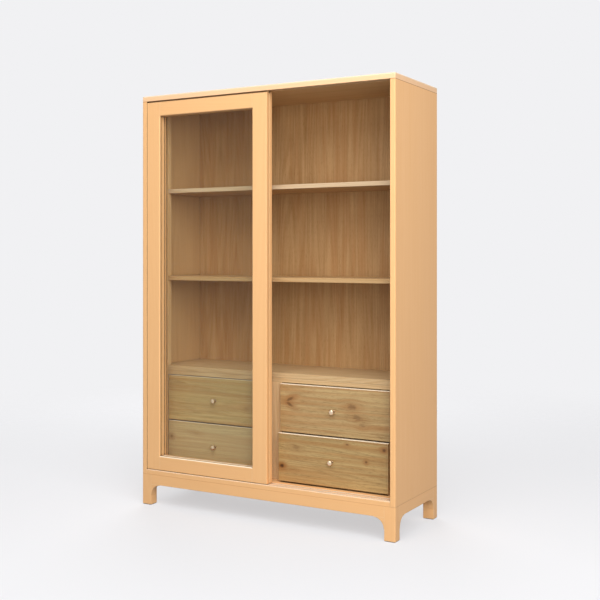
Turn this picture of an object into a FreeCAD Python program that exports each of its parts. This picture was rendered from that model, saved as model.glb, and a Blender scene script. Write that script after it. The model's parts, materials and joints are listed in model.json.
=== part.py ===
import FreeCAD, Part
import os

# A bookcase with two by-passing glazed sliding doors, two shelves and a chest of four drawers.
# Millimetres. X is the width, Y the depth with the front at -Y, Z the height from the floor.
# The origin is at the middle of the footprint, on the floor.

# Overall size
width = 1200.0
depth = 420.0
height = 1770.0

# Carcass boards
side_thickness = 22.0
top_thickness = 22.0
bottom_thickness = 20.0
back_thickness = 9.0
back_inset = 12.0
housing_depth = 8.0
outer_round = 4.0
arris_round = 1.5
arris_chamfer = 1.5

# Base
base_height = 134.0
leg_width = 46.0
leg_depth = 40.0
foot_chamfer = 3.0
rail_height = 44.0
rail_thickness = 22.0
rail_tenon_thickness = 9.0
rail_tenon_length = 24.0
rail_tenon_shoulder = 8.0
bracket_radius = 42.0
bracket_land = 2.0

# Shelves and the face frame of the drawer chest
shelf_thickness = 18.0
upper_shelf_top = 1372.0
middle_shelf_top = 989.0
face_setback = 105.0
face_thickness = 22.0
outer_post_width = 38.0
centre_post_width = 86.0
chest_top = 596.0
chest_board_thickness = 20.0
chest_rail_height = 18.0
partition_thickness = 18.0

# Sliding doors
door_thickness = 20.0
door_setback = 2.0
door_gap = 4.0
door_overlap = 62.0
door_end_gap = 1.0
door_floor_gap = 1.5
door_head_gap = 7.0
stile_width = 69.0
door_rail_width = 60.0
door_chamfer = 3.0
door_tenon_thickness = 5.0
door_tenon_length = 32.0
door_tenon_shoulder = 6.0
glass_lip = 7.0
glass_thickness = 4.0
glass_rebate = 10.0
glass_clearance = 0.8
tongue_setback = 10.0
tongue_thickness = 8.0
tongue_entry = 6.0
tongue_clearance = 0.7
head_groove_depth = 12.0
glide_length = 44.0
glide_thickness = 8.0
glide_mortise = 10.0
glide_clearance = 0.5
glide_round = 2.5
sill_groove_depth = 6.0
running_gap = 0.2

# Drawers
drawer_front_thickness = 18.0
front_side_gap = 2.0
front_top_gap = 3.0
front_middle_gap = 4.0
front_bottom_gap = 6.0
box_inset = 12.0
box_side_thickness = 12.0
box_side_height = 115.0
box_bottom_rise = 26.0
box_rear_gap = 8.0
box_back_setback = 10.0
box_housing = 5.0
box_panel_thickness = 6.0
box_panel_rise = 8.0
box_panel_groove = 6.0

# Wooden runners, and kickers that keep an open drawer level
guide_clearance = 0.5
guide_height = 18.0
ledge_thickness = 12.0
kicker_gap = 1.0
kicker_thickness = 14.0

# Knobs
knob_projection = 22.0
knob_head_radius = 10.5
knob_neck_radius = 4.6
knob_foot_radius = 7.5
knob_foot_height = 2.0
knob_neck_height = 13.0
knob_rim_height = 19.0
knob_face_radius = 7.5
screw_radius = 2.0
screw_clearance = 0.2
screw_grip = 9.0
screw_head_radius = 4.5
screw_head_height = 2.5

# How far the two right-hand drawers stand open at rest
upper_right_ajar = 20.0
lower_right_ajar = 34.0

# Planes that the pieces share
half_width = width / 2
front = -depth / 2
rear = depth / 2
inner_half = half_width - side_thickness
top_underside = height - top_thickness
bottom_top = base_height + bottom_thickness
back_face = rear - back_inset - back_thickness
face_plane = front + face_setback
face_back = face_plane + face_thickness
opening_outer = inner_half - outer_post_width
opening_inner = centre_post_width / 2
chest_board_underside = chest_top - chest_board_thickness
opening_top = chest_board_underside - chest_rail_height

os.makedirs("parts", exist_ok=True)
same_plane = 0.001


def save(name, *solids):
    """Write one piece, or a group of like pieces, as one file."""
    shape = solids[0] if len(solids) == 1 else Part.makeCompound(list(solids))
    shape.exportStep("parts/" + name + ".step")
    print(name, len(solids), "valid" if shape.isValid() else "NOT VALID", round(shape.Volume))


def block(x, y, z):
    """A box between a low and a high limit on each axis."""
    corner = FreeCAD.Vector(x[0], y[0], z[0])
    return Part.makeBox(x[1] - x[0], y[1] - y[0], z[1] - z[0], corner)


def one(shape):
    """The single solid that a cut, fuse or common leaves."""
    return shape.removeSplitter().Solids[0]


def mirrored(shape):
    """The same piece on the other side of the middle plane."""
    return shape.mirror(FreeCAD.Vector(0, 0, 0), FreeCAD.Vector(1, 0, 0))


def edges_on(shape, **planes):
    """The edges that lie on all the given planes, such as x=10 and y=5."""
    found = []
    for edge in shape.Edges:
        box = edge.BoundBox
        spans = {"x": (box.XMin, box.XMax), "y": (box.YMin, box.YMax), "z": (box.ZMin, box.ZMax)}
        offsets = [abs(limit - value) for axis, value in planes.items() for limit in spans[axis]]
        if max(offsets) < same_plane:
            found.append(edge)
    return found


def outlined(points, arcs):
    """The face inside straight lines, with an arc through a mid point where arcs names one."""
    edges = []
    for index, start in enumerate(points):
        end = points[(index + 1) % len(points)]
        if index in arcs:
            edges.append(Part.Arc(start, arcs[index], end).toShape())
        else:
            edges.append(Part.LineSegment(start, end).toShape())
    return Part.Face(Part.Wire(edges))


# Carcass: back panel, shelves, sides, top and bottom

def make_back_panel():
    reach = inner_half + housing_depth
    z = (base_height, top_underside + housing_depth)
    return block((-reach, reach), (back_face, rear - back_inset), z)


def make_shelf(top, thickness):
    """A board housed in both sides and notched round the outer posts."""
    reach = inner_half + housing_depth
    board = block((-reach, reach), (face_plane, back_face), (top - thickness, top))
    notch = block((opening_outer, reach), (face_plane, face_back), (top - thickness, top))
    board = one(board.cut(notch).cut(mirrored(notch)))
    arrises = edges_on(board, y=face_plane, z=top) + edges_on(board, y=face_plane, z=top - thickness)
    return board.makeFillet(arris_round, arrises)


def make_right_side(housed):
    side = block((inner_half, half_width), (front, rear), (base_height, top_underside))
    side = side.makeFillet(arris_round, edges_on(side, x=inner_half, y=front))
    corners = edges_on(side, x=half_width, y=front) + edges_on(side, x=half_width, y=rear)
    side = side.makeFillet(outer_round, corners)
    for board in housed:
        side = side.cut(board)
    return one(side)


def door_limits(track):
    """The Y of a door's front and back: track 0 is the front one, 1 the rear one."""
    face = front + door_setback + track * (door_thickness + door_gap)
    return face, face + door_thickness


def tongue_limits(y):
    """The Y of the tongue on a door's head, set back so that the gap above the door is in shadow."""
    return y[0] + tongue_setback, y[0] + tongue_setback + tongue_thickness


def glide_limits(y):
    """The Y of the glides, in the middle of a door's thickness."""
    middle = (y[0] + y[1]) / 2
    return middle - glide_thickness / 2, middle + glide_thickness / 2


def make_groove(y, clearance, z):
    return block((-inner_half, inner_half), (y[0] - clearance, y[1] + clearance), z)


def make_top(back_panel):
    top = block((-half_width, half_width), (front, rear), (top_underside, height))
    corners = []
    for x in (-half_width, half_width):
        corners += edges_on(top, x=x, y=front) + edges_on(top, x=x, y=rear)
    top = top.makeFillet(outer_round, corners)
    top = top.makeChamfer(arris_chamfer, edges_on(top, z=height))
    groove_z = (top_underside, top_underside + head_groove_depth)
    for track in (0, 1):
        top = top.cut(make_groove(tongue_limits(door_limits(track)), tongue_clearance, groove_z))
    return one(top.cut(back_panel))


def make_bottom():
    board = block((-inner_half, inner_half), (front, back_face), (base_height, bottom_top))
    board = board.makeFillet(arris_round, edges_on(board, y=front, z=bottom_top))
    groove_z = (bottom_top - sill_groove_depth, bottom_top)
    for track in (0, 1):
        board = board.cut(make_groove(glide_limits(door_limits(track)), glide_clearance, groove_z))
    return one(board)


back_panel = make_back_panel()
upper_shelf = make_shelf(upper_shelf_top, shelf_thickness)
middle_shelf = make_shelf(middle_shelf_top, shelf_thickness)
chest_board = make_shelf(chest_top, chest_board_thickness)
right_side = make_right_side([back_panel, upper_shelf, middle_shelf, chest_board])

save("back_panel", back_panel)
save("upper_shelf", upper_shelf)
save("middle_shelf", middle_shelf)
save("chest_top_board", chest_board)
save("right_side_panel", right_side)
save("left_side_panel", mirrored(right_side))
save("top_panel", make_top(back_panel))
save("bottom_board", make_bottom())

# Base: four legs, four tenoned rails and eight quarter-round brackets

rail_bottom = base_height - rail_height
tenon_z = (rail_bottom + rail_tenon_shoulder, base_height - rail_tenon_shoulder)
leg_inner_x = half_width - leg_width
leg_inner_y = rear - leg_depth
rail_middle_x = half_width - rail_thickness / 2
rail_middle_y = rear - rail_thickness / 2
half_tenon = rail_tenon_thickness / 2


def make_back_rail():
    """The rail behind, with a tenon into the leg at each end."""
    reach = leg_inner_x + rail_tenon_length
    rail = block((-leg_inner_x, leg_inner_x), (rear - rail_thickness, rear), (rail_bottom, base_height))
    tenon_y = (rail_middle_y - half_tenon, rail_middle_y + half_tenon)
    return one(rail.fuse(block((-reach, reach), tenon_y, tenon_z)))


def make_right_rail():
    reach = leg_inner_y + rail_tenon_length
    x = (half_width - rail_thickness, half_width)
    rail = block(x, (-leg_inner_y, leg_inner_y), (rail_bottom, base_height))
    tenon_x = (rail_middle_x - half_tenon, rail_middle_x + half_tenon)
    return one(rail.fuse(block(tenon_x, (-reach, reach), tenon_z)))


def make_back_right_leg(back_rail, right_rail):
    leg = block((leg_inner_x, half_width), (leg_inner_y, rear), (0, base_height))
    leg = leg.makeFillet(outer_round, edges_on(leg, x=half_width, y=rear))
    leg = leg.makeChamfer(foot_chamfer, edges_on(leg, z=0))
    return one(leg.cut(back_rail).cut(right_rail))


def make_bracket(corner, along, run):
    """A quarter-round spandrel under a rail: it runs along the rail and down the leg."""
    down = FreeCAD.Vector(0, 0, -1)
    reach = bracket_radius + bracket_land
    centre = corner + along * reach + down * reach
    mid = centre - (along + down) * (bracket_radius * 0.5 ** 0.5)
    points = [
        corner,
        corner + along * reach,
        corner + along * reach + down * bracket_land,
        corner + along * bracket_land + down * reach,
        corner + down * reach,
    ]
    return outlined(points, {2: mid}).extrude(run)


def turned_to_front(shape):
    """The same piece at the front instead of the back."""
    return shape.mirror(FreeCAD.Vector(0, 0, 0), FreeCAD.Vector(0, 1, 0))


back_rail = make_back_rail()
right_rail = make_right_rail()
back_right_leg = make_back_right_leg(back_rail, right_rail)
back_bracket = make_bracket(
    FreeCAD.Vector(leg_inner_x, rear, rail_bottom),
    FreeCAD.Vector(-1, 0, 0),
    FreeCAD.Vector(0, -rail_thickness, 0),
)
side_bracket = make_bracket(
    FreeCAD.Vector(half_width, leg_inner_y, rail_bottom),
    FreeCAD.Vector(0, -1, 0),
    FreeCAD.Vector(-rail_thickness, 0, 0),
)
right_brackets = [back_bracket, side_bracket, turned_to_front(back_bracket), turned_to_front(side_bracket)]

save("base_back_rail", back_rail)
save("base_front_rail", turned_to_front(back_rail))
save("base_right_rail", right_rail)
save("base_left_rail", mirrored(right_rail))
save("back_right_leg", back_right_leg)
save("back_left_leg", mirrored(back_right_leg))
save("front_right_leg", turned_to_front(back_right_leg))
save("front_left_leg", mirrored(turned_to_front(back_right_leg)))
save("leg_brackets", *right_brackets, *[mirrored(bracket) for bracket in right_brackets])

# Face frame, partitions and wooden runners of the drawer chest

right_post = block((opening_outer, inner_half), (face_plane, face_back), (bottom_top, top_underside))
right_post = right_post.makeFillet(arris_round, edges_on(right_post, x=opening_outer, y=face_plane))
centre_post = block((-opening_inner, opening_inner), (face_plane, face_back), (bottom_top, opening_top))
centre_arrises = edges_on(centre_post, x=opening_inner, y=face_plane)
centre_arrises += edges_on(centre_post, x=-opening_inner, y=face_plane)
centre_post = centre_post.makeFillet(arris_round, centre_arrises)
chest_rail = block(
    (-opening_outer, opening_outer), (face_plane, face_back), (opening_top, chest_board_underside)
)
centre_partition = block(
    (opening_inner - partition_thickness, opening_inner),
    (face_back, back_face),
    (bottom_top, chest_board_underside),
)
outer_partition = block(
    (opening_outer, opening_outer + partition_thickness),
    (face_back, back_face),
    (bottom_top, chest_board_underside),
)

save("right_inner_post", right_post)
save("left_inner_post", mirrored(right_post))
save("centre_post", centre_post)
save("chest_top_rail", chest_rail)
save("centre_partitions", centre_partition, mirrored(centre_partition))
save("outer_partitions", outer_partition, mirrored(outer_partition))

front_height = opening_top - bottom_top - front_top_gap - front_middle_gap - front_bottom_gap
front_height = front_height / 2
lower_front_bottom = bottom_top + front_bottom_gap
upper_front_bottom = lower_front_bottom + front_height + front_middle_gap
box_side_gap = front_side_gap + box_inset
guide_width = box_side_gap - guide_clearance
ledge_width = box_side_gap + box_side_thickness


def make_runner(front_bottom):
    """An L-shaped strip: a ledge under the drawer side, and a guide beside it."""
    ledge_top = front_bottom + box_bottom_rise - running_gap
    ledge_bottom = ledge_top - ledge_thickness
    outline = [
        (0, ledge_bottom),
        (ledge_width, ledge_bottom),
        (ledge_width, ledge_top),
        (guide_width, ledge_top),
        (guide_width, ledge_top + guide_height),
        (0, ledge_top + guide_height),
    ]
    points = [FreeCAD.Vector(opening_inner + x, face_back, z) for x, z in outline]
    return outlined(points, {}).extrude(FreeCAD.Vector(0, back_face - face_back, 0))


def make_kicker(front_bottom):
    low = front_bottom + box_bottom_rise + box_side_height + kicker_gap
    limits = (opening_inner, opening_inner + ledge_width)
    return block(limits, (face_back, back_face), (low, low + kicker_thickness))


def in_both_openings(strip):
    """A strip on the four partition faces: each opening has one at its left and one at its right."""
    opening_middle = FreeCAD.Vector((opening_inner + opening_outer) / 2, 0, 0)
    opposite = strip.mirror(opening_middle, FreeCAD.Vector(1, 0, 0))
    return [strip, opposite, mirrored(strip), mirrored(opposite)]


runners = []
kickers = []
for front_bottom in (lower_front_bottom, upper_front_bottom):
    runners += in_both_openings(make_runner(front_bottom))
    kickers += in_both_openings(make_kicker(front_bottom))
save("drawer_runners", *runners)
save("drawer_kickers", *kickers)

# Sliding doors: a tenoned frame with a tongue on its head, glass set in from behind, and two glides

door_width = inner_half - door_end_gap + door_overlap / 2
door_left = -inner_half + door_end_gap
door_right = door_left + door_width
door_bottom = bottom_top + door_floor_gap
door_top = top_underside - door_head_gap
glass_left = door_left + stile_width
glass_right = door_right - stile_width
glass_bottom = door_bottom + door_rail_width
glass_top = door_top - door_rail_width


def sight_block(grow, y):
    """A block over the glass opening, made larger on every side by grow."""
    return block((glass_left - grow, glass_right + grow), y, (glass_bottom - grow, glass_top + grow))


def make_door_stock(y):
    """The frame as one ring: tongue, sight opening with a chamfered edge, and rebate behind."""
    stock = block((door_left, door_right), y, (door_bottom, door_top))
    stock = stock.makeChamfer(arris_chamfer, edges_on(stock, y=y[0]) + edges_on(stock, y=y[1]))
    tongue_z = (door_top, top_underside + tongue_entry)
    stock = stock.fuse(block((door_left, door_right), tongue_limits(y), tongue_z))
    chamfer = Part.makeWedge(
        glass_left - door_chamfer, y[0], glass_bottom - door_chamfer, glass_bottom, glass_left,
        glass_right + door_chamfer, y[0] + door_chamfer, glass_top + door_chamfer, glass_top, glass_right,
    )
    stock = stock.cut(sight_block(0, y)).cut(chamfer)
    return one(stock.cut(sight_block(glass_rebate, (y[0] + glass_lip, y[1]))))


def make_door_tenons(y, z):
    """A tenon into each stile, kept clear of the glass rebate by its shoulders."""
    middle = (y[0] + y[1]) / 2
    limits = (middle - door_tenon_thickness / 2, middle + door_tenon_thickness / 2)
    return [
        block((glass_left - door_tenon_length, glass_left), limits, z),
        block((glass_right, glass_right + door_tenon_length), limits, z),
    ]


def make_glide(x, y):
    """A plastic block let into the foot of a stile, which runs in the sill groove."""
    low = bottom_top - sill_groove_depth + running_gap
    ends = (x - glide_length / 2, x + glide_length / 2)
    glide = block(ends, glide_limits(y), (low, door_bottom + glide_mortise))
    lower_edges = edges_on(glide, x=ends[0], z=low) + edges_on(glide, x=ends[1], z=low)
    return glide.makeFillet(glide_round, lower_edges)


def make_beads(y):
    """Four strips behind the glass, the upright ones between the level ones."""
    level = (glass_left - glass_rebate, glass_right + glass_rebate)
    upright = (glass_bottom, glass_top)
    return [
        block(level, y, (glass_top, glass_top + glass_rebate)),
        block(level, y, (glass_bottom - glass_rebate, glass_bottom)),
        block((glass_left - glass_rebate, glass_left), y, upright),
        block((glass_right, glass_right + glass_rebate), y, upright),
    ]


def save_door(name, track):
    y = door_limits(track)
    stock = make_door_stock(y)
    everywhere = (0, height)
    left_stile = stock.common(block((door_left, glass_left), y, everywhere))
    right_stile = stock.common(block((glass_right, door_right), y, everywhere))
    top_rail = stock.common(block((glass_left, glass_right), y, (glass_bottom + glass_rebate, height)))
    bottom_rail = stock.common(block((glass_left, glass_right), y, (0, glass_top - glass_rebate)))
    inner = glass_rebate + door_tenon_shoulder
    outer = door_rail_width - door_tenon_shoulder
    for tenon in make_door_tenons(y, (glass_top + inner, glass_top + outer)):
        top_rail = top_rail.fuse(tenon)
    above_glide = door_bottom + glide_mortise + door_tenon_shoulder
    for tenon in make_door_tenons(y, (above_glide, glass_bottom - inner)):
        bottom_rail = bottom_rail.fuse(tenon)
    glides = [make_glide(door_left + stile_width / 2, y), make_glide(door_right - stile_width / 2, y)]
    left_stile = left_stile.cut(top_rail).cut(bottom_rail).cut(glides[0])
    right_stile = right_stile.cut(top_rail).cut(bottom_rail).cut(glides[1])
    pane_y = (y[0] + glass_lip, y[0] + glass_lip + glass_thickness)
    save(name + "_left_stile", one(left_stile))
    save(name + "_right_stile", one(right_stile))
    save(name + "_top_rail", one(top_rail))
    save(name + "_bottom_rail", one(bottom_rail))
    save(name + "_glass", sight_block(glass_rebate - glass_clearance, pane_y))
    save(name + "_beads", *make_beads((pane_y[1], y[1])))
    save(name + "_glides", *glides)


save_door("front_door", 0)
save_door("rear_door", 1)

# Drawers: a solid front with a housed box behind it, and a turned knob held by a screw

front_limits = (opening_inner + front_side_gap, opening_outer - front_side_gap)
box_limits = (front_limits[0] + box_inset, front_limits[1] - box_inset)
box_inside = (box_limits[0] + box_side_thickness, box_limits[1] - box_side_thickness)
front_back = face_plane + drawer_front_thickness
box_rear = back_face - box_rear_gap
knob_x = (front_limits[0] + front_limits[1]) / 2


def make_knob(z):
    """A knob turned about its own axis: foot, neck and bevelled head, bored blind for the screw."""
    centre = FreeCAD.Vector(knob_x, face_plane, z)

    def at(radius, out):
        return centre + FreeCAD.Vector(radius, -out, 0)

    corners = [
        centre,
        at(knob_foot_radius, 0),
        at(knob_foot_radius, knob_foot_height),
        at(knob_neck_radius, knob_foot_height),
        at(knob_neck_radius, knob_neck_height),
        at(knob_head_radius, knob_neck_height),
        at(knob_head_radius, knob_rim_height),
        at(knob_face_radius, knob_projection),
        at(0, knob_projection),
    ]
    knob = outlined(corners, {}).revolve(centre, FreeCAD.Vector(0, 1, 0), 360)
    return one(knob.cut(make_screw_bore(z)))


def make_screw_bore(z):
    """The clearance hole through the front and into the knob."""
    start = FreeCAD.Vector(knob_x, front_back, z)
    length = drawer_front_thickness + screw_grip + screw_clearance
    return Part.makeCylinder(screw_radius + screw_clearance, length, start, FreeCAD.Vector(0, -1, 0))


def make_screw(z):
    start = FreeCAD.Vector(knob_x, front_back, z)
    shank = Part.makeCylinder(
        screw_radius, drawer_front_thickness + screw_grip, start, FreeCAD.Vector(0, -1, 0)
    )
    head = Part.makeCylinder(screw_head_radius, screw_head_height, start, FreeCAD.Vector(0, 1, 0))
    return one(shank.fuse(head))


def make_drawer(front_bottom):
    """The pieces of a closed right-hand drawer by name."""
    z = (front_bottom, front_bottom + front_height)
    middle = (z[0] + z[1]) / 2
    low = front_bottom + box_bottom_rise
    box_top = low + box_side_height
    panel_z = (low + box_panel_rise, low + box_panel_rise + box_panel_thickness)
    back_y = (box_rear - box_back_setback - box_side_thickness, box_rear - box_back_setback)
    panel = block(
        (box_inside[0] - box_panel_groove, box_inside[1] + box_panel_groove),
        (front_back - box_panel_groove, back_y[1]),
        panel_z,
    )
    box_back = block(
        (box_inside[0] - box_housing, box_inside[1] + box_housing),
        back_y,
        (panel_z[1], box_top),
    )
    sides = []
    for limits in ((box_limits[0], box_inside[0]), (box_inside[1], box_limits[1])):
        side = block(limits, (front_back - box_housing, box_rear), (low, box_top))
        arrises = edges_on(side, x=limits[0], z=box_top) + edges_on(side, x=limits[1], z=box_top)
        side = side.makeChamfer(arris_chamfer, arrises)
        sides.append(one(side.cut(panel).cut(box_back)))
    board = block(front_limits, (face_plane, front_back), z)
    board = board.makeChamfer(arris_chamfer, edges_on(board, y=face_plane))
    for other in (*sides, panel, make_screw_bore(middle)):
        board = board.cut(other)
    return {
        "front": [one(board)],
        "box_sides": sides,
        "box_back": [box_back],
        "box_bottom": [panel],
        "knob": [make_knob(middle), make_screw(middle)],
    }


def save_drawers(level, front_bottom, ajar):
    """A pair of drawers: the right one stands ajar, the left one is its closed mirror image."""
    for piece, solids in make_drawer(front_bottom).items():
        pulled = [solid.translated(FreeCAD.Vector(0, -ajar, 0)) for solid in solids]
        save(level + "_right_drawer_" + piece, *pulled)
        save(level + "_left_drawer_" + piece, *[mirrored(solid) for solid in solids])


save_drawers("upper", upper_front_bottom, upper_right_ajar)
save_drawers("lower", lower_front_bottom, lower_right_ajar)

print("door travel", 2 * (inner_half - door_end_gap) - door_width)
print("fronts", round(front_height, 2), lower_front_bottom, upper_front_bottom)
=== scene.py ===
# %% [markdown]
# A bookcase with sliding glass doors.
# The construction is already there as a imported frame: every board, rail, pane and drawer is a mesh at
# its real size, in metres, with the front at -Y and the floor at Z = 0. This lesson gives each of them
# its finish, turns the metal knobs and screws, and sets up a plain studio.

# %% Load the frame
import json
import math

import bpy
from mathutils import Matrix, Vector


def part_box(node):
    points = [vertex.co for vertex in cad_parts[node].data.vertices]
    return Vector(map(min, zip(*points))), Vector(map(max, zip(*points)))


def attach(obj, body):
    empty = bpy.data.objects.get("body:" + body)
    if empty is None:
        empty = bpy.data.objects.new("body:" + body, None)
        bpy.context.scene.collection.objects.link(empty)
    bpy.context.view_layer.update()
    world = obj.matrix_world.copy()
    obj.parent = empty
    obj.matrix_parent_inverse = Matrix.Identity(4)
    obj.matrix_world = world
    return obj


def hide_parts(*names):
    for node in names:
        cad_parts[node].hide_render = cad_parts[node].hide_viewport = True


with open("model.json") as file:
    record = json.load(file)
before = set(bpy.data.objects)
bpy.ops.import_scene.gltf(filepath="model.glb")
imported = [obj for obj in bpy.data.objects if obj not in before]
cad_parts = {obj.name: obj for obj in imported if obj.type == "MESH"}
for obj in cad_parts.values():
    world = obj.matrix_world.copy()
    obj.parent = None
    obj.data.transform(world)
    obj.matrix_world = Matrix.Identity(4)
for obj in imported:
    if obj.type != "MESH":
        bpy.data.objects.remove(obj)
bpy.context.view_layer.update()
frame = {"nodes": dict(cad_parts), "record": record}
nodes = frame["nodes"]

# %% [markdown]
# The camera stands a little above half the height of the cabinet, off its right-hand corner, and is
# held level, so the uprights stay parallel. A level camera would cut the feet close, so the frame is
# shifted down a little, as a view camera does, and the camera isn't tilted.

# %% Camera
scene = bpy.context.scene
camera_place = (2.138, -3.634, 1.084)
camera_turn = math.radians(29.66)
lens_mm = 59.7
frame_drop = 0.0757

bpy.ops.object.select_all(action="DESELECT")
bpy.ops.object.camera_add(location=camera_place, rotation=(math.pi / 2, 0, camera_turn))
camera = bpy.context.object
camera.name = "camera"
camera.data.lens = lens_mm
camera.data.shift_y = -frame_drop
scene.camera = camera
print("camera", camera.location[:], lens_mm, "mm")

# %% [markdown]
# Every finish here is a node tree. Three small helpers keep the trees readable: one turns a written
# colour into the linear numbers that Blender mixes with, one adds a node with its settings and fills
# each input with a value or a link, and one starts a new material.

# %% Colour and node helpers
def linear(code):
    """A hex colour such as #F8C890 as linear red, green, blue and alpha."""
    levels = [int(code[start:start + 2], 16) / 255 for start in (1, 3, 5)]
    return [v / 12.92 if v <= 0.04045 else ((v + 0.055) / 1.055) ** 2.4 for v in levels] + [1.0]


def add(tree, kind, inputs, **settings):
    """Add a node, apply its settings, then fill each input with a value or a link."""
    node = tree.nodes.new(kind)
    for setting, value in settings.items():
        setattr(node, setting, value)
    for key, value in inputs.items():
        if isinstance(value, bpy.types.NodeSocket):
            tree.links.new(value, node.inputs[key])
        else:
            node.inputs[key].default_value = value
    return node


def start_material(name):
    """A new material, its tree and its main shader."""
    material = bpy.data.materials.new(name)
    material.use_nodes = True
    return material, material.node_tree, material.node_tree.nodes["Principled BSDF"]


print("mid grey", round(linear("#808080")[0], 4))

# %% [markdown]
# All the wood is sawn board, so one recipe serves. The next cells build it up: knots, grain, colour, wear,
# and the board that puts them together. A picture of wood would be quicker, but it would repeat and would
# not follow each board.
# A knot is the foot of a branch, and the grain flows round it. The place that the patterns read is squeezed
# towards the knot's middle before any ring is drawn, so the rings bend round it as they do in a real board.
# Its outline is roughened with a noise, because a clean ellipse looks printed.

# %% Knots
ragged_mm = 7
ragged_stretch = 1.7
raggedness = 1.1
halo_start, halo_end = 0.5, 4.0
halo_squeeze = (0, 0, -0.8)
core_start, core_end = 0.9, 1.9


def bend_round_knots(tree, place, knots):
    """Push the grain aside at each knot.

    Gives the bent place, how dark the knots are and how warm the wood is round them. The reach is counted
    in half sizes of the knot, so it is 1 on the knot's outline.
    """
    if not knots:
        return place, None, None
    drawn_out = add(
        tree, "ShaderNodeMapping", {"Vector": place, "Scale": (1 / ragged_stretch, 1, 1)}
    ).outputs[0]
    ragged = add(
        tree, "ShaderNodeTexNoise", {"Vector": drawn_out, "Scale": 1000 / ragged_mm, "Detail": 3.0}
    ).outputs[0]
    bent, darkness, warmth = place, None, None
    for centre, half_size, tilt, strength in knots:
        flat = add(
            tree, "ShaderNodeMapping",
            {"Vector": place, "Location": centre, "Rotation": (0, tilt, 0), "Scale": half_size},
            vector_type="TEXTURE",
        ).outputs[0]
        reach = add(tree, "ShaderNodeVectorMath", {0: flat}, operation="LENGTH").outputs["Value"]
        offset = add(tree, "ShaderNodeVectorMath", {0: place, 1: centre}, operation="SUBTRACT").outputs[0]
        halo = add(
            tree, "ShaderNodeMapRange",
            {"Value": reach, "From Min": halo_start, "From Max": halo_end, "To Min": 1.0, "To Max": 0.0},
            interpolation_type="SMOOTHSTEP",
        ).outputs[0]
        aside = add(
            tree, "ShaderNodeVectorMath", {0: offset, 1: halo_squeeze}, operation="MULTIPLY"
        ).outputs[0]
        push = add(tree, "ShaderNodeVectorMath", {0: aside, "Scale": halo}, operation="SCALE").outputs[0]
        bent = add(tree, "ShaderNodeVectorMath", {0: bent, 1: push}, operation="ADD").outputs[0]
        edge = add(
            tree, "ShaderNodeMath", {0: ragged, 1: raggedness, 2: reach}, operation="MULTIPLY_ADD"
        ).outputs[0]
        core = add(
            tree, "ShaderNodeMapRange",
            {
                "Value": edge, "From Min": core_start, "From Max": core_end,
                "To Min": strength, "To Max": 0.0,
            },
            interpolation_type="SMOOTHSTEP",
        ).outputs[0]
        ring = add(tree, "ShaderNodeMath", {0: halo, 1: strength}, operation="MULTIPLY").outputs[0]
        if darkness is not None:
            core = add(tree, "ShaderNodeMath", {0: darkness, 1: core}, operation="MAXIMUM").outputs[0]
            ring = add(tree, "ShaderNodeMath", {0: warmth, 1: ring}, operation="MAXIMUM").outputs[0]
        darkness, warmth = core, ring
    return bent, darkness, warmth


print("a knot bends the grain as far out as", halo_end, "times its half size")

# %% [markdown]
# Growth rings are the contour lines of a slow noise, which gives the long arches of a flat-sawn face. A
# ring texture round one centre would look turned, not sawn. Fibres, broad patches and pores lie over the
# rings, all drawn out along the grain, and each board has a shift of its own, so no two look the same.
# Real fibres and pores are a few tenths of a millimetre wide and would be lost in the picture, so they are
# drawn a few millimetres wide here.

# %% Grain
board_shift = (3.1, 5.7, 4.3)
grain_stretch = 18
rings_per_swell = 9
swell_range = 0.42
ring_trough = -0.5
fibres_in_streak = 4
swells_per_patch = 2
rings_per_streak = 2
pore_mm = 1.2
pore_start, pore_full = 0.55, 0.72


def grain(tree, place, along, ring_mm, fibre_mm, fibre_stretch):
    """The grey patterns of a sawn board, from 0 to 1: rings, fibres, patches and pores, then streaks."""
    shift = add(tree, "ShaderNodeObjectInfo", {}).outputs["Random"]
    place = add(
        tree, "ShaderNodeVectorMath", {0: shift, 1: board_shift, 2: place}, operation="MULTIPLY_ADD"
    ).outputs[0]
    drawn_out = []
    for stretch in (grain_stretch, fibre_stretch):
        scale = [1.0, 1.0, 1.0]
        scale[along] = 1 / stretch
        drawn_out.append(add(tree, "ShaderNodeMapping", {"Vector": place, "Scale": scale}).outputs[0])
    swell_mm = ring_mm * rings_per_swell
    swell = add(
        tree, "ShaderNodeTexNoise",
        {"Vector": drawn_out[0], "Scale": 1000 / swell_mm, "Detail": 1.6, "Roughness": 0.45},
    ).outputs[0]
    turns = 2 * math.pi * rings_per_swell / swell_range
    phase = add(tree, "ShaderNodeMath", {0: swell, 1: turns}, operation="MULTIPLY").outputs[0]
    wave = add(tree, "ShaderNodeMath", {0: phase}, operation="SINE").outputs[0]
    rings = add(
        tree, "ShaderNodeMapRange", {"Value": wave, "From Min": ring_trough, "From Max": 1.0},
        interpolation_type="SMOOTHSTEP",
    ).outputs[0]
    streak_mm = fibre_mm * fibres_in_streak
    fibres = add(
        tree, "ShaderNodeTexNoise",
        {"Vector": drawn_out[1], "Scale": 1000 / streak_mm, "Detail": 4.0, "Roughness": 0.62},
    ).outputs[0]
    patches = add(
        tree, "ShaderNodeTexNoise",
        {"Vector": drawn_out[0], "Scale": 1000 / swell_mm / swells_per_patch, "Detail": 1.0},
    ).outputs[0]
    streaks = add(
        tree, "ShaderNodeTexNoise",
        {"Vector": drawn_out[1], "Scale": 1000 / ring_mm / rings_per_streak, "Detail": 2.0},
    ).outputs[0]
    specks = add(
        tree, "ShaderNodeTexNoise", {"Vector": drawn_out[0], "Scale": 1000 / pore_mm, "Detail": 2.0}
    ).outputs[0]
    pores = add(
        tree, "ShaderNodeMapRange", {"Value": specks, "From Min": pore_start, "From Max": pore_full}
    ).outputs[0]
    return (rings, fibres, patches, pores), streaks


print("a swell of 10 mm rings is", 10 * rings_per_swell, "mm wide")

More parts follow.
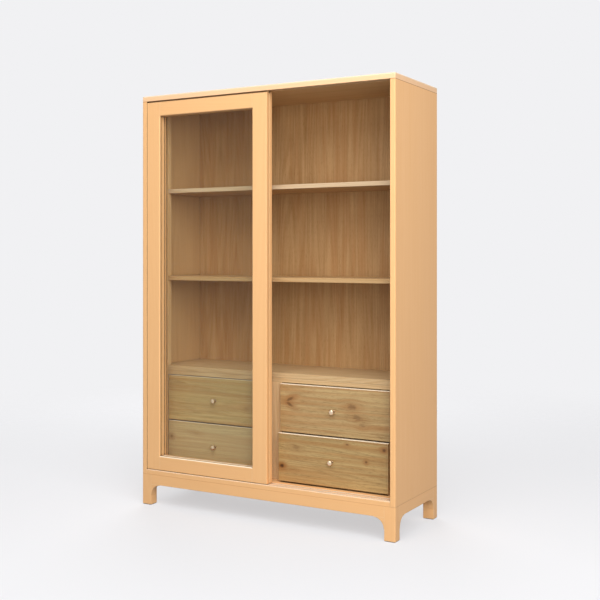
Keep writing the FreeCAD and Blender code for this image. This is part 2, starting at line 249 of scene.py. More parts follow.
# %% [markdown]
# The grain mixes a pale and a dark colour, and three things then change that colour along the board. Warm
# streaks run with the fibres. A face that looks one way, such as the inner side of the case, can have other
# colours; where a face looks up, they are a painted highlight of the light from above. A knot is dark, with
# redder wood round it. Each is a small function that takes the colour so far and gives the next one, so a
# board has only what it needs.

# %% Streaks, other faces and knots
streak_start, streak_full = 0.4, 0.65
knot_ring = "#8E5C2C"
knot_core = "#46260E"


def warm_streaks(tree, colour, streaks, blush):
    """Warm the colour along the streaks. The blush is a colour and its largest share."""
    warm_colour, warm_share = blush
    flush = add(
        tree, "ShaderNodeMapRange",
        {"Value": streaks, "From Min": streak_start, "From Max": streak_full, "To Max": warm_share},
        interpolation_type="SMOOTHSTEP",
    ).outputs[0]
    return add(
        tree, "ShaderNodeMix", {0: flush, 6: colour, 7: linear(warm_colour)}, data_type="RGBA"
    ).outputs[2]


def other_face(tree, colour, tone, normal, face):
    """Change the colours of what looks one way.

    The face is that direction, how squarely it has to look there (1 is straight on) and two colours.
    """
    direction, squareness, pale, dark = face
    facing = add(
        tree, "ShaderNodeVectorMath", {0: normal, 1: direction}, operation="DOT_PRODUCT"
    ).outputs["Value"]
    there = add(
        tree, "ShaderNodeMath", {0: facing, 1: squareness}, operation="GREATER_THAN"
    ).outputs[0]
    surface = add(
        tree, "ShaderNodeMix", {0: tone, 6: linear(pale), 7: linear(dark)}, data_type="RGBA"
    ).outputs[2]
    return add(tree, "ShaderNodeMix", {0: there, 6: colour, 7: surface}, data_type="RGBA").outputs[2]


def knot_colours(tree, colour, warmth, darkness):
    """Redden the wood round the knots, then darken the knots themselves."""
    for share, knot_colour in ((warmth, knot_ring), (darkness, knot_core)):
        colour = add(
            tree, "ShaderNodeMix", {0: share, 6: colour, 7: linear(knot_colour)}, data_type="RGBA"
        ).outputs[2]
    return colour


print("knots are", knot_core, "with", knot_ring, "round them")

# %% [markdown]
# Light and making show at the edges of a board. An arris, its long edge, is painted paler: a painted
# highlight where the edge catches the light. The Bevel node finds it and rounds it for the eye, which leaves
# the boards of the frame as they are. Where two lacquered boards meet, the joint shows as a hairline. It is
# drawn 2 mm wide, much coarser than it is, because the real one would be lost in the picture. Narrow gaps
# are painted brown, a painted shade, and the Ambient Occlusion node finds those.

# %% Edges, joints and gaps
arris_start, arris_full = 0.995, 0.86
arris_samples = 6
seam_mm = 2
gap_mm = 15
gap_start, gap_full = 0.62, 0.15
gap_share = 0.95
gap_samples = 8


def painted_edge_highlights(tree, colour, normal, arris):
    """The colour with a painted highlight on its edges, and a normal that is rounded there.

    The arris is a colour, a width in millimetres, the largest share, and the lowest upward tilt of an edge
    that counts, from -1 for straight down to 1 for straight up.
    """
    arris_colour, arris_mm, arris_share, lowest_tilt = arris
    soft = add(tree, "ShaderNodeBevel", {"Radius": arris_mm / 1000}, samples=arris_samples).outputs[0]
    agreement = add(
        tree, "ShaderNodeVectorMath", {0: soft, 1: normal}, operation="DOT_PRODUCT"
    ).outputs["Value"]
    edge = add(
        tree, "ShaderNodeMapRange",
        {"Value": agreement, "From Min": arris_start, "From Max": arris_full, "To Max": arris_share},
    ).outputs[0]
    tilt = add(tree, "ShaderNodeSeparateXYZ", {0: soft}).outputs[2]
    chosen = add(tree, "ShaderNodeMath", {0: tilt, 1: lowest_tilt}, operation="GREATER_THAN").outputs[0]
    # Painted highlight: the chosen edges are mixed towards the paler arris colour.
    highlight_share = add(tree, "ShaderNodeMath", {0: edge, 1: chosen}, operation="MULTIPLY").outputs[0]
    colour = add(
        tree, "ShaderNodeMix", {0: highlight_share, 6: colour, 7: linear(arris_colour)}, data_type="RGBA"
    ).outputs[2]
    normal = add(tree, "ShaderNodeMix", {0: chosen, 4: normal, 5: soft}, data_type="VECTOR").outputs[1]
    return colour, normal


def joint_lines(tree, colour, place, seams):
    """A thin level line just under each height in seams, in the colour that is given with it."""
    height = add(tree, "ShaderNodeSeparateXYZ", {0: place}).outputs[2]
    half = seam_mm / 2000
    for level, seam_colour in seams:
        line = add(
            tree, "ShaderNodeMath", {0: height, 1: level - half, 2: half}, operation="COMPARE"
        ).outputs[0]
        colour = add(
            tree, "ShaderNodeMix", {0: line, 6: colour, 7: linear(seam_colour)}, data_type="RGBA"
        ).outputs[2]
    return colour


def paint_gap_shade(tree, colour, gap_colour):
    """Paint shade into the colour where other surfaces stand close by."""
    room = add(
        tree, "ShaderNodeAmbientOcclusion", {"Distance": gap_mm / 1000}, samples=gap_samples
    ).outputs["AO"]
    # Painted shade: the less open room the Ambient Occlusion node finds, the more brown is mixed in.
    gap = add(
        tree, "ShaderNodeMapRange",
        {"Value": room, "From Min": gap_start, "From Max": gap_full, "To Max": gap_share},
    ).outputs[0]
    return add(
        tree, "ShaderNodeMix", {0: gap, 6: colour, 7: linear(gap_colour)}, data_type="RGBA"
    ).outputs[2]


print("joint lines", seam_mm, "mm, gaps under", gap_mm, "mm go dark")

# %% [markdown]
# The board puts all this together in one order: grain, streaks, other face, knots, arrises, joints, gaps.
# Under varnish and lacquer the fibres still make the sheen a little uneven and leave a slight relief, so
# roughness and bump both read them. One material for each kind of board is enough, because the grain
# shifts from board to board by itself.

# %% Board material
rough_spread = 0.08
relief_strength = 0.5


def wood(name, along, pale, dark, ring_mm, fibre_mm, shares, roughness, fibre_stretch=45, relief_mm=0.15,
         knots=(), blush=None, arris=None, gap_shade_colour=None, inside=None, seams=()):
    """A board material; shares says how much rings, fibres, patches and pores darken it.

    along is the axis of the grain, blush the warm streaks, arris the painted highlight on the edges, crevice
    the colour of the painted shade in narrow gaps, inside the face that has other colours (where a face
    looks up, a painted highlight), and seams the heights of joints with their colours.
    """
    material, tree, shader = start_material(name)
    place = add(tree, "ShaderNodeTexCoord", {}).outputs["Object"]
    place, darkness, warmth = bend_round_knots(tree, place, knots)
    patterns, streaks = grain(tree, place, along, ring_mm, fibre_mm, fibre_stretch)
    tone = 0.0
    for pattern, share in zip(patterns, shares):
        tone = add(
            tree, "ShaderNodeMath", {0: pattern, 1: share, 2: tone}, operation="MULTIPLY_ADD"
        ).outputs[0]
    colour = add(
        tree, "ShaderNodeMix", {0: tone, 6: linear(pale), 7: linear(dark)}, data_type="RGBA"
    ).outputs[2]
    normal = add(tree, "ShaderNodeNewGeometry", {}).outputs["Normal"]
    if blush is not None:
        colour = warm_streaks(tree, colour, streaks, blush)
    if inside is not None:
        colour = other_face(tree, colour, tone, normal, inside)
    if knots:
        colour = knot_colours(tree, colour, warmth, darkness)
    if arris is not None:
        colour, normal = painted_edge_highlights(tree, colour, normal, arris)
    if seams:
        colour = joint_lines(tree, colour, place, seams)
    if gap_shade_colour is not None:
        colour = paint_gap_shade(tree, colour, gap_shade_colour)
    tree.links.new(colour, shader.inputs["Base Color"])
    fibres = patterns[1]
    rough = add(
        tree, "ShaderNodeMapRange",
        {"Value": fibres, "To Min": roughness - rough_spread, "To Max": roughness + rough_spread},
    ).outputs[0]
    tree.links.new(rough, shader.inputs["Roughness"])
    relief = add(
        tree, "ShaderNodeBump",
        {"Strength": relief_strength, "Distance": relief_mm / 1000, "Height": fibres, "Normal": normal},
    ).outputs[0]
    tree.links.new(relief, shader.inputs["Normal"])
    return material


print("roughness varies by", rough_spread, "either way")

# %% [markdown]
# The outside, the doors and the base are a close-grained wood under a warm, nearly opaque satin lacquer,
# sprayed on. The eye sees one even peach colour with a hint of lengthwise grain and a soft sheen. The
# arrises are painted paler, a painted highlight where the edges catch the light, and narrow gaps are painted
# brown, a painted shade. Each board's grain runs along its length, so there is one material for each of the
# three directions. A few boards differ and have their own. The case is lacquered outside only: inside, its
# boards show the same brown veneer as the back panel. The top is paler, and the painted highlight is widest
# on its upper arrises and those of the sill. The ledges under the panes face up and are painted almost
# white, a painted highlight of the light from above. Fine joint lines run under the top and above the base.

# %% Lacquered frame
across_x, across_y, upright = 0, 1, 2
leftward, rightward, upward, downward = (-1, 0, 0), (1, 0, 0), (0, 0, 1), (0, 0, -1)
flat_face = 0.9
flat_and_chamfer = 0.6
any_way = -2.0
upper_edges = 0.1
veneer_tones = ("#D8B280", "#966C3C")
# Painted highlight: the ledges face up to the lamps, so they are painted near-white.
ledge_painted_light_tones = ("#FFEFD6", "#FBE2BC")
frame_tones = ("#F6C288", "#E9AE72")
top_tones = ("#F8CDA0", "#EBB886")
# Painted shade: the brown that narrow gaps and close corners are mixed towards.
painted_gap_shade = "#4A260C"
# Painted highlights on the arrises: a thin one on every edge, a wide one on the upper edges of the top and
# sill.
thin_edge_highlight = ("#FFE0B2", 2.5, 0.5, any_way)
wide_edge_highlight = ("#FFF0DC", 9, 0.8, upper_edges)
side_low, side_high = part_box("right_side_panel")
lacquer_seams = ((side_low.z, "#DBA068"), (side_high.z, "#B0703A"))


def lacquered(place, along, inside=None, tones=frame_tones, arris=thin_edge_highlight):
    """Sprayed satin lacquer: even in colour, with faint grain, a soft sheen, a painted highlight on the
    arrises and painted shade in narrow gaps.
    """
    return wood(
        "satin_lacquered_wood_" + place, along, *tones, ring_mm=14, fibre_mm=5,
        shares=(0.08, 0.25, 0.3), roughness=0.52, relief_mm=0.06, arris=arris, gap_shade_colour=painted_gap_shade,
        inside=inside, seams=lacquer_seams,
    )


lacquer = {
    across_x: lacquered("level", across_x),
    across_y: lacquered("deep", across_y),
    upright: lacquered("upright", upright),
}
case_boards = {
    "left_side_panel": lacquered("left", upright, (rightward, flat_face, *veneer_tones)),
    "right_side_panel": lacquered("right", upright, (leftward, flat_face, *veneer_tones)),
    "top_panel": lacquered("top", across_x, (downward, flat_face, *veneer_tones), top_tones, wide_edge_highlight),
    "bottom_board": lacquered("sill", across_x, arris=wide_edge_highlight),
}
# The ledges take the painted highlight on their up-facing faces.
pane_ledge = lacquered("ledge", across_x, (upward, flat_and_chamfer, *ledge_painted_light_tones))
for door in ("front_door", "rear_door"):
    case_boards[door + "_bottom_rail"] = pane_ledge
print("lacquer", [material.name for material in [*lacquer.values(), *case_boards.values()]])

# %% [markdown]
# The inside is bare-looking wood under a clear matt varnish. The shelves, the chest top and the rail under
# it are pale pine, each with a tone of its own, and their undersides are as brown as the back panel, which
# is a sliced veneer with its grain upright. The posts are the same pine in another direction. One shared
# pine would be simpler, but no two boards of a real cabinet match so well.

# %% Shelves, posts and back panel
shelf_tones = {
    "upper_shelf": ("#DDC7A6", "#C09F78"),
    "middle_shelf": ("#D0AE80", "#AE8450"),
    "chest_top_board": ("#D9BD92", "#B28C5B"),
    "chest_top_rail": ("#D9BD92", "#B28C5B"),
}
pine_shares = (0.22, 0.45, 0.3, 0.2)
shelf_wood = {}
for board, tones in shelf_tones.items():
    # Varnished pine: soft pale stripes with a low sheen.
    shelf_wood[board] = wood(
        "varnished_pine_" + board, across_x, *tones, ring_mm=9, fibre_mm=4, shares=pine_shares,
        roughness=0.5, gap_shade_colour=painted_gap_shade, inside=(downward, flat_face, *veneer_tones),
    )
post_wood = wood(
    "varnished_pine_post", upright, "#E6C698", "#BE925C", ring_mm=9, fibre_mm=4, shares=pine_shares,
    roughness=0.5, gap_shade_colour=painted_gap_shade,
)
# Sliced veneer: long fine upright streaks, some of them warm, and hardly any rings.
back_veneer = wood(
    "sliced_veneer_plywood", upright, *veneer_tones, ring_mm=13, fibre_mm=6,
    shares=(0.12, 0.7, 0.3, 0.3), roughness=0.55, fibre_stretch=14, blush=("#A8703C", 0.3),
)
print("inside boards", [material.name for material in shelf_wood.values()])

# %% [markdown]
# What the drawers hide is plain stock: pine partitions, planed poplar for the sides and back of each drawer
# box, birch plywood for its bottom, and waxed beech for the runners, which wears well. They are seen only
# when a drawer is open, but a plain grey there would be seen at once.

# %% Drawer boxes and runners
poplar_shares = (0.3, 0.35, 0.2, 0.15)
box_wood = {}
for along, place in ((across_x, "back"), (across_y, "side")):
    # Planed poplar: creamy and even, with faint rings.
    box_wood[along] = wood(
        "planed_poplar_" + place, along, "#E8D9BF", "#C9AA82", ring_mm=11, fibre_mm=4,
        shares=poplar_shares, roughness=0.55,
    )
# Varnished pine, as on the shelves, but rougher sawn and with plainer rings.
partition_wood = wood(
    "varnished_pine_partition", across_y, "#D9B987", "#A97F4E", ring_mm=10, fibre_mm=4,
    shares=(0.35, 0.35, 0.25, 0.2), roughness=0.55,
)
# Birch plywood: broad, weak, pale figure and no shine.
box_panel = wood(
    "birch_plywood", across_y, "#E9D2AC", "#CBA778", ring_mm=16, fibre_mm=5,
    shares=(0.3, 0.3, 0.2, 0.15), roughness=0.6,
)
# Waxed beech: a pinkish brown with fine flecks and a little more sheen.
runner_wood = wood(
    "waxed_beech_runner", across_y, "#D8AF7E", "#B58553", ring_mm=7, fibre_mm=3,
    shares=(0.3, 0.4, 0.2, 0.25), roughness=0.45,
)
print("drawer woods", [material.name for material in (*box_wood.values(), box_panel, runner_wood)])

# %% [markdown]
# The drawer fronts are the liveliest boards: knotty, olive-tan, with the grain running across, redder wood
# round each knot and a pale top edge, a painted highlight where it faces up to the light. Each front is cut
# from another board and has its own tones. The knots are listed one by one, because a scatter of random
# spots
# never sits as knots do: each has its place as a share of its front from the left and from the top, its half
# length and half height in millimetres, its tilt in degrees and its darkness.

# %% Knots of the drawer fronts
knot_list = [
    ("upper_right_drawer_front", 0.095, 0.31, 18, 6, -25, 0.60),
    ("upper_right_drawer_front", 0.095, 0.42, 18, 6, 25, 0.60),
    ("upper_right_drawer_front", 0.67, 0.37, 19, 11, 0, 0.42),
    ("upper_right_drawer_front", 0.72, 0.58, 21, 10, 12, 0.36),
    ("upper_right_drawer_front", 0.76, 0.72, 14, 8, 0, 0.25),
    ("lower_right_drawer_front", 0.035, 0.68, 10, 7, 0, 0.95),
    ("lower_right_drawer_front", 0.965, 0.14, 8, 6, 0, 0.70),
    ("lower_right_drawer_front", 0.81, 0.41, 6, 5, 0, 0.65),
    ("lower_right_drawer_front", 0.64, 0.10, 7, 4, 0, 0.50),
    ("lower_right_drawer_front", 0.17, 0.27, 17, 7, 5, 0.30),
    ("upper_left_drawer_front", 0.10, 0.16, 24, 6, 0, 0.20),
    ("upper_left_drawer_front", 0.83, 0.62, 14, 7, 8, 0.12),
    ("lower_left_drawer_front", 0.035, 0.36, 8, 7, 0, 0.35),
    ("lower_left_drawer_front", 0.30, 0.24, 20, 5, 4, 0.15),
]
through_board = 1.0


def knots_of(front):
    """The knots of one front as the recipe takes them: centre, half size, tilt and strength."""
    low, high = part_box(front)
    found = []
    for owner, across, down, long_mm, high_mm, tilt, strength in knot_list:
        if owner == front:
            centre = (low.x + across * (high.x - low.x), low.y, high.z - down * (high.z - low.z))
            half_size = (long_mm / 1000, through_board, high_mm / 1000)
            found.append((centre, half_size, math.radians(tilt), strength))
    return found


print("knots", len(knot_list))

# %% [markdown]
# With the knots in place, each front is one board of the same kind: knotty oak under a thin oil. The eye
# sees fine dark fibres, warm streaks and a low sheen. The warm colour of a front is its third tone.

# %% Knotty drawer fronts
front_tones = {
    "upper_left_drawer_front": ("#E7C98D", "#80683A", "#B07C4A"),
    "lower_left_drawer_front": ("#E4CE9C", "#A38A5E", "#B89262"),
    "upper_right_drawer_front": ("#E2C28A", "#70522A", "#A46C38"),
    "lower_right_drawer_front": ("#DDBE82", "#6A4C24", "#9C6832"),
}
# Painted highlight: the top edges of the fronts face up to the light and are painted paler.
top_edge_painted_light_tones = ("#F6E8D4", "#E8D4B6")
# Painted highlight on the arrises of the drawer fronts.
front_edge_highlight = ("#F3DDB4", 2.5, 0.5, any_way)
front_blush_share = 0.45
front_wood = {}
for front in sorted(front_tones):
    pale, dark, warm = front_tones[front]
    front_wood[front] = wood(
        "knotty_oak_" + front, across_x, pale, dark, ring_mm=8, fibre_mm=2.5,
        shares=(0.1, 0.6, 0.35, 0.3), roughness=0.5, knots=knots_of(front),
        blush=(warm, front_blush_share), arris=front_edge_highlight, gap_shade_colour=painted_gap_shade,
        inside=(upward, flat_and_chamfer, *top_edge_painted_light_tones),
    )
print("fronts", len(front_wood))

# %% [markdown]
# Clear float glass, 4 mm thick: the eye sees the shelves through it and a faint veil of the bright room. It
# is a real pane with two faces, so it reflects and refracts by itself. A single see-through sheet would be
# quicker but would show no thickness. Real glass has an index of 1.5, but two panes of that in an all-white
# studio would veil the shelves, so the index is lowered. Lamps would not find their way through such glass,
# so rays that look for a lamp pass straight through.

# %% Glass
pane_index = 1.15
clear_glass, tree, shader = start_material("clear_float_glass")
shader.inputs["Base Color"].default_value = linear("#F8F8F5")
shader.inputs["Roughness"].default_value = 0.0
shader.inputs["IOR"].default_value = pane_index
shader.inputs["Transmission Weight"].default_value = 1.0
clear = add(tree, "ShaderNodeBsdfTransparent", {"Color": linear("#FCFCFB")})
path = add(tree, "ShaderNodeLightPath", {})
passes = add(
    tree, "ShaderNodeMath", {0: path.outputs["Is Shadow Ray"], 1: path.outputs["Is Diffuse Ray"]},
    operation="MAXIMUM",
).outputs[0]
pane = add(tree, "ShaderNodeMixShader", {0: passes, 1: shader.outputs[0], 2: clear.outputs[0]})
tree.links.new(pane.outputs[0], tree.nodes["Material Output"].inputs["Surface"])
print("glass", clear_glass.name)

# %% [markdown]
# The knobs and screws are nickel-plated and satin brushed on a lathe: a metal with a warm champagne tint,
# whose fine turned lines blur its highlights. The lines are drawn 1.5 mm wide, coarser than real ones, so
# that they show. A plain grey metal would look cold beside the wood.

# %% Satin nickel
brush_mm = 1.5
smoothest, roughest = 0.22, 0.4
satin_nickel, tree, shader = start_material("satin_nickel")
shader.inputs["Metallic"].default_value = 1.0
place = add(tree, "ShaderNodeTexCoord", {}).outputs["Object"]
brushed = add(
    tree, "ShaderNodeTexNoise", {"Vector": place, "Scale": 1000 / brush_mm, "Detail": 2.0}
).outputs[0]
tint = add(
    tree, "ShaderNodeMix", {0: brushed, 6: linear("#FAE6CA"), 7: linear("#D2B592")}, data_type="RGBA"
).outputs[2]
tree.links.new(tint, shader.inputs["Base Color"])
rough = add(
    tree, "ShaderNodeMapRange", {"Value": brushed, "To Min": smoothest, "To Max": roughest}
).outputs[0]
tree.links.new(rough, shader.inputs["Roughness"])
print("metal", satin_nickel.name)

# %% [markdown]
# The glides under the doors are moulded nylon: milky white, with a dull shine and a slight orange-peel skin.
# They are nearly hidden in the sill, so one noise is enough for both the colour and the skin.

# %% Nylon
peel_mm = 1.2
peel_depth_mm = 0.1
peel_strength = 0.3
nylon, tree, shader = start_material("moulded_nylon")
place = add(tree, "ShaderNodeTexCoord", {}).outputs["Object"]
skin = add(tree, "ShaderNodeTexNoise", {"Vector": place, "Scale": 1000 / peel_mm, "Detail": 1.0}).outputs[0]
milk = add(
    tree, "ShaderNodeMix", {0: skin, 6: linear("#EDEAE2"), 7: linear("#DDD8CC")}, data_type="RGBA"
).outputs[2]
tree.links.new(milk, shader.inputs["Base Color"])
peel = add(
    tree, "ShaderNodeBump", {"Strength": peel_strength, "Distance": peel_depth_mm / 1000, "Height": skin}
).outputs[0]
tree.links.new(peel, shader.inputs["Normal"])
shader.inputs["Roughness"].default_value = 0.45
print("plastic", nylon.name)

# %% [markdown]
# Each node now takes its finish. The record's slots group the nodes, and within a slot the direction of
# the grain follows the longest side of the board. A list of all the nodes by hand would be long, and would
# miss a board that is added later.

# %% Dress the nodes
plain_finish = {
    "back_plywood": back_veneer,
    "runner_wood": runner_wood,
    "drawer_plywood": box_panel,
    "clear_glass": clear_glass,
    "satin_nickel": satin_nickel,
    "nylon_glide": nylon,
}


def longest(node):
    """The axis along which a node is longest."""
    low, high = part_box(node)
    size = high - low
    return max(range(3), key=lambda axis: size[axis])


def finish_for(node, slot):
    """The material of a node: by its slot, by its own name, or by its direction."""
    if slot in plain_finish:
        return plain_finish[slot]
    for own_finish in (case_boards, front_wood, shelf_wood):
        if node in own_finish:
            return own_finish[node]
    if slot == "lacquered_frame":
        return lacquer[longest(node)]
    if slot == "drawer_box_wood":
        return box_wood[across_y] if node.endswith("_sides") else box_wood[across_x]
    return partition_wood if node.endswith("_partitions") else post_wood


for row in frame["record"]["subparts"]:
    node = nodes[row["node"]]
    node.data.materials.clear()
    node.data.materials.append(finish_for(row["node"], row["material_slot"]))
print("dressed", len(nodes), "nodes")

# %% [markdown]
# Knobs and screw heads are turned from bar on a lathe. A lathe leaves a stack of circles, so a piece grows
# ring by ring from a filled circle: each step extrudes the end face along the axis and scales it to the next
# radius. A spun profile would give the same form, but with a seam to merge. A second helper picks the rings
# of edges at some heights, so that a bevel can round those corners and no others.

# %% A lathe in two helpers
lathe_sides = 48
same_height_mm = 0.01


def turned(name, rings_mm, way):
    """A turned solid on the Y axis: way is 1 to grow towards +Y and -1 towards -Y."""
    bpy.ops.object.select_all(action="DESELECT")
    height, radius = rings_mm[0]
    bpy.ops.mesh.primitive_circle_add(
        vertices=lathe_sides, radius=radius / 1000, fill_type="NGON", rotation=(math.pi / 2, 0, 0)
    )
    piece = bpy.context.object
    piece.name = name
    bpy.ops.object.transform_apply(location=False, rotation=True, scale=False)
    bpy.ops.object.mode_set(mode="EDIT")
    bpy.ops.mesh.select_mode(type="FACE")
    bpy.ops.mesh.select_all(action="SELECT")
    for next_height, next_radius in rings_mm[1:]:
        rise = way * (next_height - height) / 1000
        bpy.ops.mesh.extrude_region_move(TRANSFORM_OT_translate={"value": (0, rise, 0)})
        share = next_radius / radius
        bpy.ops.transform.resize(value=(share, 1, share), center_override=(0, way * next_height / 1000, 0))
        height, radius = next_height, next_radius
    bpy.ops.mesh.select_all(action="SELECT")
    bpy.ops.mesh.normals_make_consistent(inside=False)
    return piece


def pick_rings(piece, heights_mm):
    """Select the rings of edges at these heights on a turned piece, in edit mode."""
    bpy.ops.mesh.select_mode(type="EDGE")
    bpy.ops.mesh.select_all(action="DESELECT")
    bpy.ops.object.mode_set(mode="OBJECT")
    points = piece.data.vertices
    for edge in piece.data.edges:
        ends = [abs(points[index].co.y) * 1000 for index in edge.vertices]
        edge.select = any(
            max(abs(end - height) for end in ends) < same_height_mm for height in heights_mm
        )
    bpy.ops.object.mode_set(mode="EDIT")


print("the lathe turns", lathe_sides, "sides")

# %% [markdown]
# A knob has a thin foot against the wood, a slim neck and a mushroom head with a softly domed face. The rim
# of the head is rounded most, and the corners of foot and neck only a little. A ball on a stick would be
# quicker to make, but these corners are what catches the light.

# %% Turn one knob
knob_rings_mm = [(0, 7.5), (2, 7.5), (2, 4.6), (13, 4.6), (13, 10.5), (18.5, 10.5), (21.4, 6.5), (22, 3)]
rim_heights_mm = (18.5, 21.4)
rim_corner_mm = 1.8
rim_segments = 4
neck_heights_mm = (2, 13)
corner_mm = 0.7
corner_segments = 3
smooth_below = math.radians(40)

knob = turned("knob_pattern", knob_rings_mm, -1)
pick_rings(knob, rim_heights_mm)
bpy.ops.mesh.bevel(offset=rim_corner_mm / 1000, segments=rim_segments, affect="EDGES")
pick_rings(knob, neck_heights_mm)
bpy.ops.mesh.bevel(offset=corner_mm / 1000, segments=corner_segments, affect="EDGES")
bpy.ops.object.mode_set(mode="OBJECT")
bpy.ops.object.shade_smooth_by_angle(angle=smooth_below)
knob.data.materials.append(satin_nickel)
print("knob", len(knob.data.polygons), "faces")

# %% [markdown]
# Each knob is held by a pan-head screw from inside the drawer, and the same screws hold the back panel to
# the shelves. The head is turned like the knob, and its cross recess is cut with two bars as booleans,
# which leaves real walls for the light to catch. A dark cross in the material would look painted on.

# %% Turn one screw and cut its recess
screw_rings_mm = [(0, 4.5), (1, 4.5), (2.5, 2.8)]
head_heights_mm = (1, 2.5)
head_corner_mm = 0.8
slot_length_mm, slot_width_mm, slot_depth_mm = 4.6, 1.0, 1.1

screw = turned("screw_pattern", screw_rings_mm, 1)
pick_rings(screw, head_heights_mm)
bpy.ops.mesh.bevel(offset=head_corner_mm / 1000, segments=corner_segments, affect="EDGES")
bpy.ops.object.mode_set(mode="OBJECT")
head_top = (0, screw_rings_mm[-1][0] / 1000, 0)
for turn in (0, math.pi / 2):
    bpy.ops.object.select_all(action="DESELECT")
    bpy.ops.mesh.primitive_cube_add(size=1, location=head_top, rotation=(0, turn, 0))
    bar = bpy.context.object
    bar.scale = (slot_length_mm / 1000, 2 * slot_depth_mm / 1000, slot_width_mm / 1000)
    recess = screw.modifiers.new("recess", "BOOLEAN")
    recess.operation = "DIFFERENCE"
    recess.object = bar
    bpy.context.view_layer.objects.active = screw
    bpy.ops.object.modifier_apply(modifier=recess.name)
    bpy.data.objects.remove(bar)
bpy.ops.object.select_all(action="DESELECT")
screw.select_set(True)
bpy.ops.object.shade_smooth_by_angle(angle=smooth_below)
screw.data.materials.append(satin_nickel)
print("screw", len(screw.data.polygons), "faces")

# %% [markdown]
# One knob and one screw were made at the origin, and every drawer now gets a copy of both. The place goes
# into the copy's own mesh, as it does in the nodes of the frame, because a pattern would slide on a piece
# that is only moved. The copy rides on its drawer, and the knob stands for the plain knob of the frame.

# %% Fit the knobs and their screws
drawers = [front.removesuffix("_front") for front in front_wood]


def copied(pattern, name, place):
    """A copy with its own mesh, moved to its place there."""
    bpy.ops.object.select_all(action="DESELECT")
    pattern.select_set(True)
    bpy.context.view_layer.objects.active = pattern
    bpy.ops.object.duplicate()
    piece = bpy.context.object
    piece.name = name
    piece.location = place
    bpy.ops.object.transform_apply(location=True, rotation=False, scale=False)
    return piece


for drawer in drawers:
    knob_low, knob_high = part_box(drawer + "_knob")
    front_low, front_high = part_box(drawer + "_front")
    middle = (knob_low + knob_high) / 2
    drawer_knob = copied(knob, drawer + "_turned_knob", (middle.x, front_low.y, middle.z))
    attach(drawer_knob, drawer)
    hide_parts(drawer + "_knob")
    drawer_screw = copied(screw, drawer + "_knob_screw", (middle.x, front_high.y, middle.z))
    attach(drawer_screw, drawer)
print("knobs", len(drawers))

# %% [markdown]
# The back panel is screwed to the back edges of the boards, in even rows. An array modifier could repeat a
# screw, but each row belongs to its own board, so the height of each row is read from that board. The two
# patterns have then done their work and go.

# %% Screw on the back panel
fixing_rows = ("upper_shelf", "middle_shelf", "chest_top_board", "bottom_board")
screws_in_row = 5
row_share = 0.9

back_low, back_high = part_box("back_panel")
for board in fixing_rows:
    board_low, board_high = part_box(board)
    level = (board_low.z + board_high.z) / 2
    for number in range(screws_in_row):
        across = row_share * (number / (screws_in_row - 1) - 0.5) * (back_high.x - back_low.x)
        name = board + "_back_screw_" + str(number + 1)
        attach(copied(screw, name, (across, back_high.y, level)), "cabinet")
for pattern in (knob, screw):
    bpy.data.objects.remove(pattern)
print("back screws", len(fixing_rows) * screws_in_row)

# %% [markdown]
# The floor is a pale sweep of paper. It is lit like everything else, so the cabinet's shadow falls on it,
# but to the eye it also glows a little, which keeps the far background an even near-white. More light would
# whiten it too, but would bleach the wood. Towards its edge the paper dissolves into the world behind it.

# %% Floor
floor_radius = 6.0
floor_sides = 96
fade_start, fade_end = 1.2, 4.5
paper_white = "#F1F1F3"
glow_strength = 0.607

bpy.ops.object.select_all(action="DESELECT")
bpy.ops.mesh.primitive_circle_add(vertices=floor_sides, radius=floor_radius, fill_type="NGON")
floor = bpy.context.object
floor.name = "paper_floor"


def seen_directly(tree):
    """1 for a ray from the eye, a mirror or a pane, and 0 for light that bounces about."""
    path = add(tree, "ShaderNodeLightPath", {})
    either = add(
        tree, "ShaderNodeMath",
        {0: path.outputs["Is Camera Ray"], 1: path.outputs["Is Glossy Ray"]}, operation="MAXIMUM",
    ).outputs[0]
    return add(
        tree, "ShaderNodeMath", {0: either, 1: path.outputs["Is Transmission Ray"]}, operation="MAXIMUM"
    ).outputs[0]


# Studio paper: matt and without any pattern, a mid grey to the lamps and near-white to the eye.
paper, tree, shader = start_material("studio_paper")
tree.nodes.remove(shader)
seen = seen_directly(tree)
bounce = add(tree, "ShaderNodeBsdfDiffuse", {"Color": linear("#8C8C8E")}).outputs[0]
lit = add(tree, "ShaderNodeBsdfDiffuse", {"Color": linear("#9C9C9E")}).outputs[0]
glow = add(tree, "ShaderNodeEmission", {"Color": linear(paper_white), "Strength": glow_strength}).outputs[0]
shown = add(tree, "ShaderNodeAddShader", {0: lit, 1: glow}).outputs[0]
sheet = add(tree, "ShaderNodeMixShader", {0: seen, 1: bounce, 2: shown}).outputs[0]
place = add(tree, "ShaderNodeTexCoord", {}).outputs["Object"]
away = add(tree, "ShaderNodeVectorMath", {0: place}, operation="LENGTH").outputs["Value"]
fade = add(
    tree, "ShaderNodeMapRange", {"Value": away, "From Min": fade_start, "From Max": fade_end},
    interpolation_type="SMOOTHSTEP",
).outputs[0]
gone = add(tree, "ShaderNodeMath", {0: fade, 1: seen}, operation="MULTIPLY").outputs[0]
empty = add(tree, "ShaderNodeBsdfTransparent", {}).outputs[0]
edge = add(tree, "ShaderNodeMixShader", {0: gone, 1: sheet, 2: empty}).outputs[0]
tree.links.new(edge, tree.nodes["Material Output"].inputs["Surface"])
floor.data.materials.append(paper)
print("floor radius", floor_radius, "m")

# %% [markdown]
# The world is the room round the paper. To the eye it is the same near-white as the paper, so no edge shows
# between them, and as a light it is only a weak even fill, so that the lamps decide the shading.

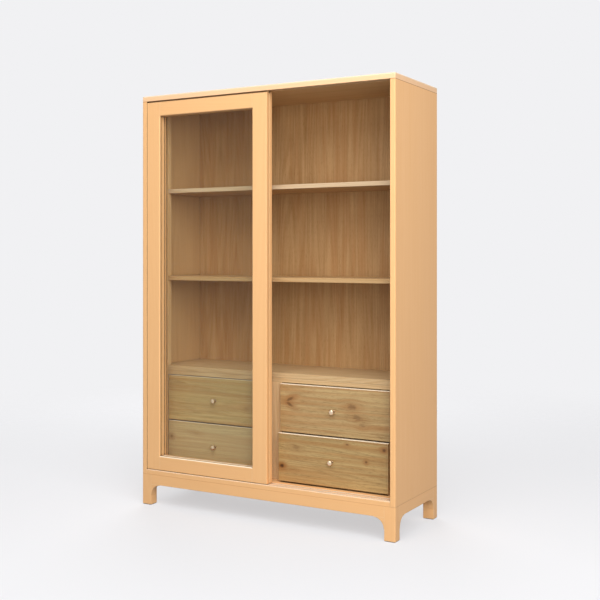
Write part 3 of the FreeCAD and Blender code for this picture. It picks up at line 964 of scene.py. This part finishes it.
# %% World
sky_strength = 0.1

world = bpy.data.worlds.new("studio")
scene.world = world
world.use_nodes = True
tree = world.node_tree
tree.nodes.clear()
sky = add(tree, "ShaderNodeBackground", {"Color": (1, 1, 1, 1), "Strength": sky_strength}).outputs[0]
backdrop = add(tree, "ShaderNodeBackground", {"Color": linear(paper_white), "Strength": 1.0}).outputs[0]
both = add(tree, "ShaderNodeMixShader", {0: seen_directly(tree), 1: sky, 2: backdrop}).outputs[0]
add(tree, "ShaderNodeOutputWorld", {"Surface": both})
print("world fill", sky_strength)

# %% [markdown]
# Five soft square lamps, all at one distance, as on stands round the cabinet. One hangs high in front, so
# each shelf shades the top of the bay below it, and one overhead brightens whatever faces up. A smaller one
# at the height of the eye reaches into the bays, and one on the right opens the side panel and shades a
# strip of the back panel beside each upright. The last stands behind, for the back and for the shadow on
# the floor. None of them shows in the picture itself, and only the two upper ones show in gloss, because
# the low ones would glare along the top when it is seen from the far side.

# %% Lights
cabinet_middle = Vector((0, 0, 0.9))
lamp_distance = 4.6
# Each lamp: name, degrees round from the front, degrees up, size in metres, watts, and if gloss shows it.
lamps = (
    ("high_front", 12, 44, 3.2, 103, True),
    ("overhead", 12, 76, 3.0, 54, True),
    ("low_front", 32, 6, 2.0, 76, False),
    ("right", 55, 26, 3.0, 112, False),
    ("back", 215, 22, 3.0, 145, False),
)


def area_light(name, around, up, size, watts, glints):
    """A square lamp that looks at the middle of the cabinet."""
    around, up = math.radians(around), math.radians(up)
    away = Vector((math.sin(around) * math.cos(up), -math.cos(around) * math.cos(up), math.sin(up)))
    bpy.ops.object.light_add(type="AREA", location=cabinet_middle + lamp_distance * away)
    lamp = bpy.context.object
    lamp.name = name
    lamp.data.size = size
    lamp.data.energy = watts
    lamp.rotation_euler = away.to_track_quat("Z", "Y").to_euler()
    lamp.visible_camera = False
    lamp.visible_transmission = False
    lamp.visible_glossy = glints


for lamp_row in lamps:
    area_light(*lamp_row)
scene.view_settings.view_transform = "Standard"
print("lamps", len(lamps))
